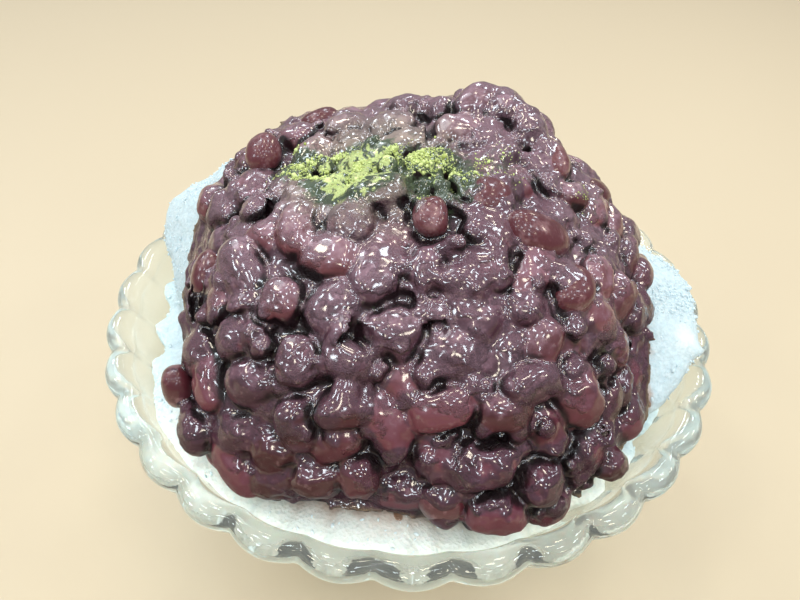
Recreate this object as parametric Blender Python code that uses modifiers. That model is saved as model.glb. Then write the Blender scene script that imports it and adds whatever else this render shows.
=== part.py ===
"""Shaved ice under sweet red beans, served in a scalloped glass bowl.

Three pieces, each one closed body: the pressed glass bowl, the shaved ice that fills it and
stands above it as a mound, and the heap of beans in their paste that covers the mound.

Metres, +Z up. The origin is the centre of the bowl's foot, on the surface it stands on. The
front of the serving, where the beans hang lowest, faces -Y.
"""

import math

import bmesh
import bpy
from mathutils import Vector, noise

MM = 0.001

# Bowl: a turned body with pressed lobes.
RIM_RADIUS = 70 * MM  # to the outside of the bead, halfway between lobe and cusp
BOWL_HEIGHT = 62 * MM
BEAD_RADIUS = 3.25 * MM  # of the round bead along the rim
FOOT_RADIUS = 32 * MM
FOOT_HEIGHT = 4 * MM
FOOT_WIDTH = 4 * MM  # of the flat ring that the bowl stands on
FOOT_HOLLOW = 2.5 * MM  # how far the underside lies above that ring
WALL_FOOT_THICKNESS = 4.2 * MM
WALL_RIM_THICKNESS = 3.4 * MM
WALL_CURVE = 1.6  # height along the wall goes with this power of the way out
WALL_START = 2 * MM  # how far inside the foot's edge the wall begins
NECK_IN, NECK_DOWN = 1.15, 1.6  # where the wall runs into the bead, in bead radii from the rim
INSIDE_STATIONS = (0.2, 0.42, 0.65, 0.86, 0.99)  # shares of the way up the wall
OUTSIDE_STATIONS = (0.94, 0.75, 0.53, 0.3, 0.1)
BEAD_STATIONS = range(190, -51, -48)  # degrees round the bead's section
LOBES = 32
STEPS_PER_LOBE = 3
LOBE_DEPTH = 1.7 * MM  # from the tip of a lobe to the cusp beside it
FLUTES_START = 18 * MM  # height where the lobes begin to show in the wall
FIRST_CUSP = math.radians(8.15)

# Ice: fills the bowl, and stands above it as a mound.
CLEARANCE = 0.45 * MM  # between pieces that touch, so that their facets never cross
CENTRE = Vector((0, 0, 36 * MM))  # both mounds are measured outwards from here
SQUARENESS = 2.5  # 2 is an ellipsoid, and more is fuller at the shoulders
ICE_HEIGHT = 61 * MM  # of the mound above CENTRE
ICE_FILLET = 6 * MM  # where the mound meets the ice around it
ICE_FLAT_RIM = 3.5  # degrees over which the ice comes down to the glass
SWELL_START, SWELL_TOP, SWELL_END = 2.2, 6, 22  # degrees inwards from the glass
ICE_UNEVEN = 1.5 * MM
ICE_UNEVEN_SIZE = 21 * MM
# Stations round the bowl: azimuth in degrees from +X, and a length in millimetres.
ICE_REACH = (  # half width of the mound
    (0, 53), (12, 54), (35, 53), (90, 55), (128, 58), (150, 65), (163, 66), (178, 57), (192, 52),
    (205, 49), (318, 49), (332, 53), (345, 53),
)
ICE_EDGE = (  # height at which the ice meets the glass
    (0, 58), (45, 57), (90, 56), (150, 57), (172, 56), (192, 54), (215, 53), (240, 53),
    (268, 57), (284, 53), (302, 51.5), (318, 53), (331, 51.5), (342, 56),
)
ICE_SWELL = (  # how far it swells out over the bead
    (0, 17), (12, 11), (26, 3), (50, 2), (120, 4), (150, 6), (165, 6), (182, 4), (198, 0),
    (308, 0), (333, 10), (345, 17),
)

# Beans: a heap over the mound, lowest in front.
HEAP_HEIGHT = 69 * MM  # above CENTRE
HEAP_REACH = (  # half width of the heap
    (0, 57.5), (12, 55), (25, 49), (60, 46), (90, 46), (120, 47), (150, 51), (170, 57), (184, 57),
    (197, 54.5), (212, 58.5), (230, 65), (250, 65), (270, 60.5), (290, 64), (312, 63.5), (335, 56.5),
)
HEAP_LEAST = 2.5 * MM  # thickness over the ice
UNDER_ROOM = 1.0 * MM  # under the heap, measured from CENTRE
LUMPS = ((2.0 * MM, 16 * MM), (0.8 * MM, 8.5 * MM))  # height and size of each kind of lump
# Broad swellings: azimuth and polar angle in degrees, height, and spread in degrees.
PEAK = (28, 16, 6.5 * MM, 10)
HANGING_CLUSTER = (292, 69, 4 * MM, 8)
HEAP_EDGE = (  # where the heap ends: azimuth, and polar angle from +Z at CENTRE, in degrees
    (0, 51), (15, 49), (45, 46), (90, 42), (130, 38), (150, 34), (165, 37), (178, 46), (188, 57),
    (200, 63), (217, 67), (230, 73), (250, 73), (268, 69), (281, 74), (300, 74), (322, 72),
    (336, 59), (348, 52),
)
EDGE_ROOM = 2.2  # degrees of bare ice, at least, between the heap and the glass
EDGE_LEAST = 1.2 * MM  # thickness of the heap at its edge
HEAP_EDGE_ROUNDING = 0.08  # share of the way from the top to the edge
HEAP_EDGE_THINNING = 0.55  # 1 would bring it to a sharp edge
RIM_ROOM = 0.5 * MM  # between the heap and the glass
LOW_POINT = math.radians(60)  # only below this polar angle can the heap reach the glass

# How finely the two mounds are divided.
AROUND = 64
ICE_TOP_RINGS, ICE_WALL_RINGS, ICE_FLOOR_RINGS = 13, 7, 2
EDGE_CROWDING = 0.55  # how much closer together the ice's rings stand towards the bead
HEAP_TOP_RINGS, HEAP_UNDER_RINGS = 18, 8


# ---------------------------------------------------------------- shared shapes


def smooth(low, high, value):
    """0 below low, 1 above high, and an even curve between them."""
    share = min(1.0, max(0.0, (value - low) / (high - low)))
    return share * share * (3 - 2 * share)


def around(stations, azimuth):
    """The value at an azimuth, eased between stations that close into a ring."""
    degrees = math.degrees(azimuth) % 360
    ring = [*stations, (stations[0][0] + 360, stations[0][1])]
    for (start, low), (end, high) in zip(ring, ring[1:]):
        if start <= degrees <= end:
            return low + (high - low) * smooth(start, end, degrees)
    raise ValueError(f"no station at {degrees} degrees")


def direction(azimuth, polar):
    return Vector(
        (math.sin(polar) * math.cos(azimuth), math.sin(polar) * math.sin(azimuth), math.cos(polar))
    )


def mound(azimuth, polar, reach, height):
    """Distance from CENTRE to a full, dome-like surface whose reach varies with azimuth."""
    across = math.sin(polar) / (around(reach, azimuth) * MM)
    upwards = math.cos(polar) / height
    return (across**SQUARENESS + upwards**SQUARENESS) ** (-1 / SQUARENESS)


def swelling(azimuth, polar, place):
    """Height of a broad, soft swelling at a direction."""
    at_azimuth, at_polar, height, spread = place
    middle = direction(math.radians(at_azimuth), math.radians(at_polar))
    away = direction(azimuth, polar).angle(middle) / math.radians(spread)
    return height * math.exp(-away * away)


def finish(name, mesh, material, collection):
    """One named piece, smooth where it is round."""
    mesh.materials.append(material)
    mesh.shade_smooth()
    mesh.set_sharp_from_angle(angle=math.radians(50))
    piece = bpy.data.objects.new(name, mesh)
    collection.objects.link(piece)
    return piece


# ---------------------------------------------------------------- glass bowl


def wall_outside(share):
    """(radius, height) on the wall's outside. share is 0 at the foot and 1 at the bead."""
    foot = FOOT_RADIUS - WALL_START
    neck = RIM_RADIUS - NECK_IN * BEAD_RADIUS
    top = BOWL_HEIGHT - NECK_DOWN * BEAD_RADIUS
    return (
        foot + (neck - foot) * share,
        FOOT_HEIGHT + (top - FOOT_HEIGHT) * share**WALL_CURVE,
    )


def wall_inside(share):
    """The same point on the wall's inside, straight through the glass."""
    step = 1e-4
    radius, height = wall_outside(share)
    ahead_radius, ahead_height = wall_outside(share + step)
    along = Vector((ahead_radius - radius, ahead_height - height)).normalized()
    thickness = WALL_FOOT_THICKNESS + (WALL_RIM_THICKNESS - WALL_FOOT_THICKNESS) * share
    return radius - along.y * thickness, height + along.x * thickness


def inside_share(height):
    """The share of the way up the inside of the wall at a height."""
    low, high = 0.0, 1.1
    for _ in range(40):
        middle = (low + high) / 2
        if wall_inside(middle)[1] < height:
            low = middle
        else:
            high = middle
    return low


def lobe_wave(azimuth):
    """1 at the tip of a lobe and -1 in the cusp between two."""
    return 2 * abs(math.sin((azimuth - FIRST_CUSP) * LOBES / 2)) - 1


def lobe_offset(azimuth, height):
    """How far the lobes move the glass outwards at a height."""
    showing = smooth(FLUTES_START, BOWL_HEIGHT - BEAD_RADIUS, height)
    return LOBE_DEPTH / 2 * showing * lobe_wave(azimuth)


def bowl_profile():
    """Half of the bowl's section, from the middle of its floor over the rim to its underside."""
    floor = wall_inside(0)
    inside = [wall_inside(share) for share in INSIDE_STATIONS]
    bead = Vector((RIM_RADIUS - BEAD_RADIUS, BOWL_HEIGHT - BEAD_RADIUS))
    arc = [math.radians(degrees) for degrees in BEAD_STATIONS]
    rim = [tuple(bead + BEAD_RADIUS * Vector((math.cos(a), math.sin(a)))) for a in arc]
    outside = [wall_outside(share) for share in OUTSIDE_STATIONS]
    foot = [
        (FOOT_RADIUS, FOOT_HEIGHT * 0.6),
        (FOOT_RADIUS, 0),
        (FOOT_RADIUS - FOOT_WIDTH, 0),
        (FOOT_RADIUS - FOOT_WIDTH - MM, FOOT_HOLLOW),
    ]
    return [(0, floor[1]), floor, *inside, *rim, *outside, *foot, (0, FOOT_HOLLOW)]


def turned_mesh(name, profile, steps):
    """A closed body turned round Z from a profile that starts and ends on the axis."""
    line = bpy.data.meshes.new(f"{name}_profile")
    edges = [(i, i + 1) for i in range(len(profile) - 1)]
    line.from_pydata([(radius, 0, height) for radius, height in profile], edges, [])
    guide = bpy.data.objects.new(f"{name}_profile", line)
    bpy.context.scene.collection.objects.link(guide)
    screw = guide.modifiers.new("turn", "SCREW")
    screw.steps = steps
    screw.render_steps = steps
    screw.use_merge_vertices = True
    screw.merge_threshold = 0.01 * MM
    graph = bpy.context.evaluated_depsgraph_get()
    mesh = bpy.data.meshes.new_from_object(guide.evaluated_get(graph))
    bpy.data.objects.remove(guide)
    mesh.name = name
    return mesh


def make_bowl(material, collection):
    mesh = turned_mesh("glass_bowl", bowl_profile(), LOBES * STEPS_PER_LOBE)
    for vertex in mesh.vertices:
        x, y, z = vertex.co
        radius = math.hypot(x, y)
        if radius > FOOT_RADIUS:
            azimuth = math.atan2(y, x)
            grow = 1 + lobe_offset(azimuth, z) / radius
            vertex.co = (x * grow, y * grow, z)
    return finish("glass_bowl", mesh, material, collection)


# ---------------------------------------------------------------- shaved ice


def ice_edge_height(azimuth):
    return around(ICE_EDGE, azimuth) * MM


def beside_glass(share):
    """(radius, height) of the ice beside the wall, clear of the cusps that stand inwards."""
    radius, height = wall_inside(share)
    cusp = LOBE_DEPTH / 2 * smooth(FLUTES_START, BOWL_HEIGHT - BEAD_RADIUS, height)
    return radius - cusp - CLEARANCE, height + CLEARANCE * (1 - share)


def ice_edge_polar(azimuth):
    radius, height = beside_glass(inside_share(ice_edge_height(azimuth)))
    return math.atan2(radius, height - CENTRE.z)


def ice_distance(azimuth, polar):
    """Distance from CENTRE to the top of the ice."""
    edge_polar = ice_edge_polar(azimuth)
    level = (ice_edge_height(azimuth) - CENTRE.z) / math.cos(polar)
    dome = mound(azimuth, polar, ICE_REACH, ICE_HEIGHT)
    gap = dome - level
    joined = (dome + level + math.sqrt(gap * gap + ICE_FILLET * ICE_FILLET)) / 2
    swell = around(ICE_SWELL, azimuth) * MM
    from_edge = math.degrees(edge_polar - polar)
    rising = smooth(SWELL_START, SWELL_TOP, from_edge)
    falling = smooth(SWELL_TOP, SWELL_END, from_edge)
    joined += swell * rising * (1 - falling)
    at = CENTRE + direction(azimuth, polar) * joined
    joined += ICE_UNEVEN * noise.noise(at / ICE_UNEVEN_SIZE)
    inner = smooth(0, ICE_FLAT_RIM, from_edge)
    return level * (1 - inner) + joined * inner


def closer_to_edge(share):
    """Sets the rings of the ice closer together towards the bead."""
    return (1 - EDGE_CROWDING) * share + EDGE_CROWDING * math.sin(share * math.pi / 2)


def make_ice(material, collection):
    rings = ICE_TOP_RINGS + ICE_WALL_RINGS
    floor_share = ICE_FLOOR_RINGS / ICE_WALL_RINGS
    solid = bmesh.new()
    bmesh.ops.create_uvsphere(solid, u_segments=AROUND, v_segments=rings, radius=1)
    for vertex in solid.verts:
        azimuth = math.atan2(vertex.co.y, vertex.co.x)
        ring = round(math.acos(max(-1, min(1, vertex.co.z))) / math.pi * rings)
        if ring < ICE_TOP_RINGS:
            polar = ice_edge_polar(azimuth) * closer_to_edge(ring / ICE_TOP_RINGS)
            vertex.co = CENTRE + direction(azimuth, polar) * ice_distance(azimuth, polar)
            continue
        up = (rings - ring) / ICE_WALL_RINGS
        edge = inside_share(ice_edge_height(azimuth))
        on_wall = max(0.0, (up - floor_share) / (1 - floor_share))
        radius, height = beside_glass(edge * on_wall)
        radius *= min(1.0, up / floor_share)
        vertex.co = (radius * math.cos(azimuth), radius * math.sin(azimuth), height)
    mesh = bpy.data.meshes.new("shaved_ice")
    solid.to_mesh(mesh)
    solid.free()
    return finish("shaved_ice", mesh, material, collection)


# ---------------------------------------------------------------- red beans


def heap_distance(azimuth, polar):
    """Distance from CENTRE to the outside of the heap."""
    distance = mound(azimuth, polar, HEAP_REACH, HEAP_HEIGHT)
    distance += swelling(azimuth, polar, PEAK) + swelling(azimuth, polar, HANGING_CLUSTER)
    at = CENTRE + direction(azimuth, polar) * distance
    for height, size in LUMPS:
        distance += height * noise.noise(at / size)
    return max(distance, ice_distance(azimuth, polar) + HEAP_LEAST)


def heap_edge_polar(azimuth):
    """Where the heap ends: always on the ice, a little before the ice meets the glass."""
    return min(
        math.radians(around(HEAP_EDGE, azimuth)), ice_edge_polar(azimuth) - math.radians(EDGE_ROOM)
    )


def inside_rim(polar, distance):
    """Keeps a low point of the heap clear of the wall and the bead."""
    if polar < LOW_POINT:
        return distance
    bead = RIM_RADIUS - 2 * BEAD_RADIUS
    for _ in range(3):
        height = CENTRE.z + distance * math.cos(polar)
        glass = min(bead, wall_inside(inside_share(height))[0]) - LOBE_DEPTH / 2
        distance = min(distance, (glass - RIM_ROOM) / math.sin(polar))
    return distance


def make_heap(material, collection):
    rings = HEAP_TOP_RINGS + HEAP_UNDER_RINGS
    solid = bmesh.new()
    bmesh.ops.create_uvsphere(solid, u_segments=AROUND, v_segments=rings, radius=1)
    for vertex in solid.verts:
        azimuth = math.atan2(vertex.co.y, vertex.co.x)
        ring = round(math.acos(max(-1, min(1, vertex.co.z))) / math.pi * rings)
        edge = heap_edge_polar(azimuth)
        outside = ring <= HEAP_TOP_RINGS
        out = ring / HEAP_TOP_RINGS if outside else (rings - ring) / HEAP_UNDER_RINGS
        polar = edge * out
        under = ice_distance(azimuth, polar) + UNDER_ROOM
        distance = under
        if outside:
            over = heap_distance(azimuth, polar) - under
            into_edge = max(0.0, (out - 1 + HEAP_EDGE_ROUNDING) / HEAP_EDGE_ROUNDING)
            distance += over * math.sqrt(1 - HEAP_EDGE_THINNING * into_edge * into_edge)
            distance = max(inside_rim(polar, distance), under + EDGE_LEAST)
        vertex.co = CENTRE + direction(azimuth, polar) * distance
    mesh = bpy.data.meshes.new("red_beans")
    solid.to_mesh(mesh)
    solid.free()
    return finish("red_beans", mesh, material, collection)


# ---------------------------------------------------------------- materials


def make_material(name, colour, roughness, transmission=0.0):
    material = bpy.data.materials.new(name)
    material.use_nodes = True
    shader = material.node_tree.nodes["Principled BSDF"]
    shader.inputs["Base Color"].default_value = (*colour, 1)
    shader.inputs["Roughness"].default_value = roughness
    shader.inputs["Metallic"].default_value = 0
    shader.inputs["Transmission Weight"].default_value = transmission
    return material


def main():
    for old in list(bpy.data.objects):
        bpy.data.objects.remove(old)
    collection = bpy.data.collections.new("bingsu")
    bpy.context.scene.collection.children.link(collection)
    make_bowl(make_material("clear_glass", (0.86, 0.91, 0.89), 0.03, 1.0), collection)
    make_ice(make_material("shaved_ice", (0.88, 0.94, 0.97), 0.5), collection)
    make_heap(make_material("red_beans", (0.12, 0.05, 0.065), 0.25), collection)


main()
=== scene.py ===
"""The finished look of a bingsu: shaved ice under sweet red beans in a scalloped glass bowl.

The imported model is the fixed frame. The bowl, the ice and the beans are each made again in
full detail in the space that their solids hold, and green tea powder, syrup and loose flakes
of ice are added. Metres, +Z up; the front of the serving faces -Y.
"""

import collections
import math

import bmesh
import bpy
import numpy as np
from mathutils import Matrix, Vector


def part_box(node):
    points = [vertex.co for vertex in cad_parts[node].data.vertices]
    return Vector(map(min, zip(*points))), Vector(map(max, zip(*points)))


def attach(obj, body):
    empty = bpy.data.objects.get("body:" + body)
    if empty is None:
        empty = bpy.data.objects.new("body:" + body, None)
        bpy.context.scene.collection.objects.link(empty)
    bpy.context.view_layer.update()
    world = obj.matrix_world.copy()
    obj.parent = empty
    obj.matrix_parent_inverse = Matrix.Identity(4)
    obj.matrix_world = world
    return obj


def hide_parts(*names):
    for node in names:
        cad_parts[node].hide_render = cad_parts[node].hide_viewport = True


bl_info = {
    "name": "Bingsu in a Glass Bowl",
    "version": (1, 0, 0),
    "blender": (4, 5, 0),
    "location": "3D View > Sidebar > Bingsu",
    "description": "Makes the glass bowl, the shaved ice, the sweet red beans and what lies on them",
    "category": "Add Mesh",
}

import openvdb
from bpy.props import FloatProperty, FloatVectorProperty, IntProperty, PointerProperty
from mathutils import Matrix, Vector
from mathutils.bvhtree import BVHTree

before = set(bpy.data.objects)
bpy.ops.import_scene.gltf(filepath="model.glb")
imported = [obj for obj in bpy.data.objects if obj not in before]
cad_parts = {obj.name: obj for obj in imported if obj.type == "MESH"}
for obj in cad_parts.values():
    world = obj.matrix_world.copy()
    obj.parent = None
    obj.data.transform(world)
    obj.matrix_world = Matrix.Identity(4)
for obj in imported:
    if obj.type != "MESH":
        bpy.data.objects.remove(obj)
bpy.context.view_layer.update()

MM = 0.001
CENTRE = np.array((0, 0, 36 * MM))  # the ice and the beans are mounds around this point
FAR = 1.0  # a distance, in metres, that is farther than any piece


# ---------------------------------------------------------------- numbers


def smooth(low, high, value):
    """0 below low, 1 above high, and an even curve between them."""
    share = np.clip((value - low) / (high - low), 0, 1)
    return share * share * (3 - 2 * share)


def direction(azimuth, polar):
    """Unit vectors from angles in radians: azimuth from +X, polar from +Z."""
    return np.stack(
        (np.sin(polar) * np.cos(azimuth), np.sin(polar) * np.sin(azimuth), np.cos(polar)), axis=-1
    )


def angles(points):
    """(azimuth, polar, distance) of points around CENTRE."""
    away = points - CENTRE
    distance = np.linalg.norm(away, axis=-1)
    polar = np.arccos(np.clip(away[..., 2] / np.maximum(distance, 1e-9), -1, 1))
    return np.arctan2(away[..., 1], away[..., 0]), polar, distance


def volume(points, quads):
    """Of a closed mesh of quads: negative when its faces look inwards."""
    first, second, third, fourth = (points[quads[:, i]] for i in range(4))
    return np.sum(np.cross(third - first, fourth - second) * first) / 6


def smooth_least(first, second, blend):
    """Joins two shapes with a fillet: blend is how near their surfaces start to merge."""
    meeting = np.clip(blend - np.abs(first - second), 0, None) / blend
    return np.minimum(first, second) - meeting * meeting * blend / 4


def unit(vectors):
    return vectors / np.maximum(np.linalg.norm(vectors, axis=-1, keepdims=True), 1e-12)


class Uneven:
    """Smooth noise from -1 to 1, with features of a given size."""

    PERIOD = 32

    def __init__(self, seed):
        random = np.random.default_rng(seed)
        self.lattice = random.uniform(-1, 1, (self.PERIOD,) * 3).astype(np.float32)

    def __call__(self, points, size):
        at = np.asarray(points, np.float64) / size
        cell = np.floor(at)
        part = at - cell
        part = part * part * (3 - 2 * part)
        low = cell.astype(int) % self.PERIOD
        high = (low + 1) % self.PERIOD
        total = 0
        for corner in np.ndindex(2, 2, 2):
            index = [np.where(corner[i], high[..., i], low[..., i]) for i in range(3)]
            weights = [part[..., i] if corner[i] else 1 - part[..., i] for i in range(3)]
            total = total + self.lattice[tuple(index)] * weights[0] * weights[1] * weights[2]
        return total

    def layers(self, points, size, count=3, roughness=0.5):
        """Noise with finer and finer features added to it."""
        total, height, reach = 0, 1.0, 0.0
        for layer in range(count):
            total = total + height * self(points + layer * 7.3 * size, size / 2**layer)
            reach += height
            height *= roughness
        return total / reach


class Field:
    """Distances to a surface on a grid of cells: negative inside. Shapes are joined into it."""

    def __init__(self, low, high, cell):
        self.cell = cell
        self.low = np.asarray(low, float)
        counts = np.ceil((np.asarray(high) - self.low) / cell).astype(int) + 1
        self.axes = [self.low[i] + cell * np.arange(counts[i]) for i in range(3)]
        self.values = np.full(counts, FAR, np.float32)

    def window(self, middle, reach):
        """The part of the grid within reach of a point."""
        slices = []
        for i in range(3):
            start = int(np.floor((middle[i] - reach - self.low[i]) / self.cell))
            end = int(np.ceil((middle[i] + reach - self.low[i]) / self.cell)) + 1
            slices.append(slice(max(0, start), min(len(self.axes[i]), max(0, end))))
        return tuple(slices)

    def points(self, window=(slice(None),) * 3):
        parts = [self.axes[i][window[i]] for i in range(3)]
        return np.stack(np.meshgrid(*parts, indexing="ij"), axis=-1)

    def join(self, window, distances, blend):
        self.values[window] = smooth_least(self.values[window], distances, blend)

    def surface(self):
        """(points, quads) of the surface, with its faces outwards."""
        grid = openvdb.FloatGrid(background=FAR)
        grid.copyFromArray(self.values)
        points, quads = grid.convertToQuads(isovalue=0.0)
        points, quads = points * self.cell + self.low, quads.astype(np.int32)
        return points, quads if volume(points, quads) > 0 else quads[:, ::-1]

    def at(self, points, values=None):
        """The distances at any points, or those of another array on the same grid."""
        values = self.values if values is None else values
        top = np.array(values.shape) - 2
        place = (points - self.low) / self.cell
        cell = np.clip(np.floor(place).astype(int), 0, top)
        part = np.clip(place - cell, 0, 1)
        total = 0
        for corner in np.ndindex(2, 2, 2):
            weights = [part[:, i] if corner[i] else 1 - part[:, i] for i in range(3)]
            index = tuple(cell[:, i] + corner[i] for i in range(3))
            total = total + values[index] * weights[0] * weights[1] * weights[2]
        return total


# ---------------------------------------------------------------- the frame's solids


class Shell:
    """The outside and the underside of a mound-shaped solid, as distances from CENTRE."""

    AROUND, DOWN, DEEPEST = 240, 110, math.radians(110)

    def __init__(self, node, blur):
        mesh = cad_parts[node].data
        tree = BVHTree.FromPolygons(
            [vertex.co for vertex in mesh.vertices], [face.vertices for face in mesh.polygons]
        )
        self.outer = np.zeros((self.AROUND, self.DOWN))
        self.under = np.zeros((self.AROUND, self.DOWN))
        self.met = np.zeros((self.AROUND, self.DOWN))
        start = Vector(CENTRE)
        for i in range(self.AROUND):
            for j in range(self.DOWN):
                ahead = Vector(direction(i * math.tau / self.AROUND, self.polar_of(j)))
                outside = tree.ray_cast(start + ahead * 0.2, -ahead)[0]
                inside = tree.ray_cast(start, ahead)[0]
                if outside is not None and inside is not None:
                    self.outer[i, j] = (outside - start).length
                    self.under[i, j] = (inside - start).length
                    self.met[i, j] = 1
        self.outer = self.filled(self.softened(self.outer, blur))
        self.under = self.filled(self.softened(self.under, blur))

    def polar_of(self, row):
        return row * self.DEEPEST / (self.DOWN - 1)

    @staticmethod
    def softened(values, times):
        """Takes the flats of the solid's facets away, but leaves its edge where it is."""
        inside = values > 0
        for _ in range(times):
            around = (np.roll(values, 1, 0) + np.roll(values, -1, 0)) / 2
            padded = np.pad(values, ((0, 0), (1, 1)), mode="edge")
            down = (padded[:, :-2] + padded[:, 2:]) / 2
            whole = inside & (around > 0) & (down > 0)
            near = np.abs(around - values) + np.abs(down - values) < 3 * MM
            values = np.where(whole & near, 0.5 * values + 0.25 * around + 0.25 * down, values)
        return values

    def filled(self, values):
        """Past its edge the solid goes on with the distance that it has at the edge."""
        values = values.copy()
        for column, met in zip(values, self.met > 0):
            rows = np.flatnonzero(met)
            if len(rows):
                column[: rows[0]] = column[rows[0]]
                column[rows[-1] :] = column[rows[-1]]
        return values

    def look_up(self, table, azimuth, polar):
        across = (azimuth % math.tau) / math.tau * self.AROUND
        down = np.clip(polar / self.DEEPEST * (self.DOWN - 1), 0, self.DOWN - 1.001)
        left, top = np.floor(across).astype(int) % self.AROUND, np.floor(down).astype(int)
        right = (left + 1) % self.AROUND
        x, y = across - np.floor(across), down - top
        upper = table[left, top] * (1 - x) + table[right, top] * x
        lower = table[left, top + 1] * (1 - x) + table[right, top + 1] * x
        return upper * (1 - y) + lower * y

    def outside(self, azimuth, polar):
        return self.look_up(self.outer, azimuth, polar)

    def underside(self, azimuth, polar):
        return self.look_up(self.under, azimuth, polar)

    def covers(self, azimuth, polar):
        """Where a ray from CENTRE meets the solid."""
        return self.look_up(self.met, azimuth, polar) > 0.999

    def over(self, heading):
        """Points of the outside in the direction of unit vectors."""
        azimuth, polar, _ = angles(CENTRE + heading)
        return CENTRE + heading * self.outside(azimuth, polar)[..., None]

    def normal(self, heading):
        """The outside's normals in the direction of unit vectors."""
        other = np.where(np.abs(heading[..., :1]) < 0.9, (1.0, 0, 0), (0, 1.0, 0))
        across = unit(np.cross(heading, other))
        down = np.cross(heading, across)
        reach = 0.07
        first = self.over(unit(heading + reach * across)) - self.over(unit(heading - reach * across))
        second = self.over(unit(heading + reach * down)) - self.over(unit(heading - reach * down))
        return unit(np.cross(first, second))

    def edge(self, azimuth):
        """Polar angle at which the solid ends."""
        rows = self.met.sum(1) - 1
        across = (azimuth % math.tau) / math.tau * self.AROUND
        left = np.floor(across).astype(int) % self.AROUND
        x = across - np.floor(across)
        return self.polar_of(rows[left] * (1 - x) + rows[(left + 1) % self.AROUND] * x)


# ---------------------------------------------------------------- shader maths


class Link:
    """One output of a shader node. Python's operators on it add the Math nodes."""

    def __init__(self, finish, socket):
        self.finish = finish
        self.socket = socket

    def maths(self, operation, first, second):
        return self.finish.node("ShaderNodeMath", {"operation": operation}, {0: first, 1: second})

    def __add__(self, other):
        return self.maths("ADD", self, other)

    def __radd__(self, other):
        return self.maths("ADD", other, self)

    def __sub__(self, other):
        return self.maths("SUBTRACT", self, other)

    def __rsub__(self, other):
        return self.maths("SUBTRACT", other, self)

    def __mul__(self, other):
        return self.maths("MULTIPLY", self, other)

    def __rmul__(self, other):
        return self.maths("MULTIPLY", other, self)

    def __truediv__(self, other):
        return self.maths("DIVIDE", self, other)

    def __pow__(self, other):
        return self.maths("POWER", self, other)

    def at_most(self, other):
        return self.maths("MINIMUM", self, other)

    def at_least(self, other):
        return self.maths("MAXIMUM", self, other)


class Finish:
    """A material's node tree around one Principled shader."""

    def __init__(self, name):
        self.material = bpy.data.materials.new(name)
        self.material.use_nodes = True
        self.tree = self.material.node_tree
        self.tree.nodes.clear()

    def node(self, kind, settings=None, sockets=None, output=0):
        """Adds any node: its settings first, then the values or links of its sockets."""
        made = self.tree.nodes.new(kind)
        for name, value in (settings or {}).items():
            if name == "stops":
                self.set_stops(made.color_ramp, value)
            else:
                setattr(made, name, value)
        for name, value in (sockets or {}).items():
            socket = made.inputs[name]
            if isinstance(value, Link):
                self.tree.links.new(value.socket, socket)
            else:
                socket.default_value = (*value, 1) if socket.type == "RGBA" else value
        return Link(self, made.outputs[output]) if len(made.outputs) else None

    @staticmethod
    def set_stops(ramp, stops):
        while len(ramp.elements) < len(stops):
            ramp.elements.new(1)
        for element, (place, value) in zip(ramp.elements, stops):
            element.position = place
            element.color = (value, value, value, 1)

    def place(self):
        """Where a point of the surface is, in metres."""
        return self.node("ShaderNodeTexCoord", output="Object")

    def attribute(self, name):
        return self.node("ShaderNodeAttribute", {"attribute_name": name}, output="Fac")

    def noise(self, size, detail=2.0, roughness=0.5, distortion=0.0):
        """Noise from 0 to 1 with features of a size in metres."""
        return self.node(
            "ShaderNodeTexNoise",
            {"noise_dimensions": "3D"},
            {
                "Vector": self.place(), "Scale": 1 / size, "Detail": detail,
                "Roughness": roughness, "Distortion": distortion,
            },
        )

    def cells(self, size, feature="F1", output="Distance"):
        return self.node(
            "ShaderNodeTexVoronoi",
            {"feature": feature},
            {"Vector": self.place(), "Scale": 1 / size},
            output,
        )

    def between(self, value, low, high):
        """0 where value is low, 1 where it is high, and smooth between."""
        return self.node(
            "ShaderNodeMapRange",
            {"interpolation_type": "SMOOTHSTEP"},
            {"Value": value, "From Min": low, "From Max": high},
        )

    def mix(self, share, first, second, blend="MIX"):
        """A mix of two colours."""
        return self.node(
            "ShaderNodeMix",
            {"data_type": "RGBA", "blend_type": blend},
            {0: share, 6: first, 7: second},
            output=2,
        )

    def bump(self, height, depth, strength=1.0, after=None):
        """A normal from a height from 0 to 1 that stands for depth metres."""
        sockets = {"Strength": strength, "Distance": depth, "Height": height}
        if after is not None:
            sockets["Normal"] = after
        return self.node("ShaderNodeBump", None, sockets)

    def principled(self, sockets, passes=None):
        """The finished material. passes is the tint of lamplight that shines through glass."""
        shader = self.node("ShaderNodeBsdfPrincipled", {"subsurface_method": "RANDOM_WALK"}, sockets)
        if passes is not None:
            through = self.node("ShaderNodeBsdfTransparent", None, {"Color": passes})
            shadow = self.node("ShaderNodeLightPath", output="Is Shadow Ray")
            shader = self.node("ShaderNodeMixShader", None, {0: shadow, 1: shader, 2: through})
        self.node("ShaderNodeOutputMaterial", None, {"Surface": shader})
        return self.material


def colour(value):
    return tuple(value)


# ---------------------------------------------------------------- meshes


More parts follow.
